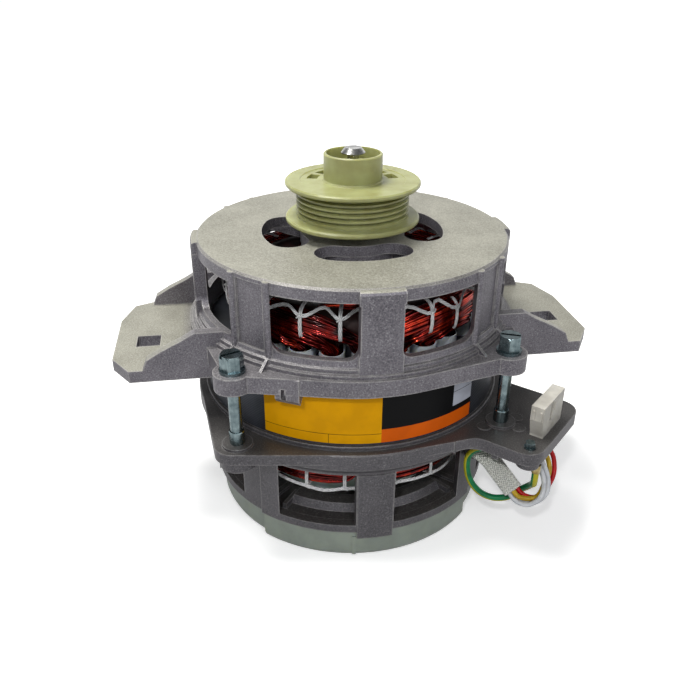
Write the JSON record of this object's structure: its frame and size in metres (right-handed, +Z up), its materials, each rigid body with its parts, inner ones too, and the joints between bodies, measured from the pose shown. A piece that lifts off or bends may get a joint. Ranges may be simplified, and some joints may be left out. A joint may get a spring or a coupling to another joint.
{
  "type": "belt-drive washing machine motor",
  "caption": "Belt-drive induction motor with two die-cast end bells, bracket ears, a ribbed belt pulley on top and a side bracket that carries its lead connector.",
  "frame": {"origin": "on the motor axis, at the underside of the end cap, which is the plane the motor stands on", "axes": "+Z up the shaft towards the pulley, +X towards the right-hand ear, -Y the front with the blank sticker"},
  "size_m": [0.221, 0.1601, 0.1717],
  "materials": {
    "bell_alu": "die cast, grainy",
    "base_alu": "die cast, smooth, darker",
    "lamination": "varnished steel sheets",
    "liner": "film",
    "copper": "enamelled winding wire",
    "lacing": "woven cord",
    "label": "blank sticker",
    "rotor_steel": "turned sheets",
    "cage_alu": "cast",
    "shaft_steel": "turned",
    "bearing_steel": "ground",
    "fan_nylon": "moulded",
    "pulley_nylon": "moulded natural nylon",
    "zinc": "zinc plated",
    "cap_nylon": "moulded natural nylon",
    "connector_plastic": "moulded",
    "brass": "stamped",
    "grommet_rubber": "moulded",
    "sleeve_braid": "braided, varnished",
    "wire_green": "green with yellow stripe",
    "wire_white": "insulation",
    "wire_red": "insulation",
    "wire_yellow": "insulation"
  },
  "bodies": {
    "stator": {"upper_housing": "bell_alu", "lower_housing": "base_alu", "stator_core": "lamination", "slot_liners": "liner", "slot_conductors": "copper", "crown_upper": "copper", "crown_upper_turns": "copper", "crown_lower": "copper", "lacing_upper": "lacing", "lacing_lower": "lacing", "blank_label": "label", "bearing_upper_outer": "bearing_steel", "bearing_upper_balls": "bearing_steel", "bearing_lower_outer": "bearing_steel", "bearing_lower_balls": "bearing_steel", "wave_washer": "bearing_steel", "through_bolt_fl": "zinc", "through_bolt_fr": "zinc", "through_bolt_bl": "zinc", "through_bolt_br": "zinc", "bolt_collars": "zinc", "end_cap": "cap_nylon", "connector_housing": "connector_plastic", "connector_terminals": "brass", "earth_screw": "zinc", "earth_terminal": "brass", "outlet_grommet": "grommet_rubber", "lead_sleeve": "sleeve_braid", "earth_wire": "wire_green", "lead_white_a": "wire_white", "lead_white_b": "wire_white", "lead_red": "wire_red", "lead_yellow": "wire_yellow"},
    "rotor": {"rotor_core": "rotor_steel", "rotor_cage": "cage_alu", "shaft": "shaft_steel", "bearing_upper_inner": "bearing_steel", "bearing_lower_inner": "bearing_steel", "cooling_fan": "fan_nylon", "pulley": "pulley_nylon"}
  },
  "joints": [
    {"name": "rotor_spin", "type": "hinge", "parent": "stator", "child": "rotor", "pos_m": [0, 0, 0.07475], "axis": [0, 0, 1], "continuous": true}
  ]
}
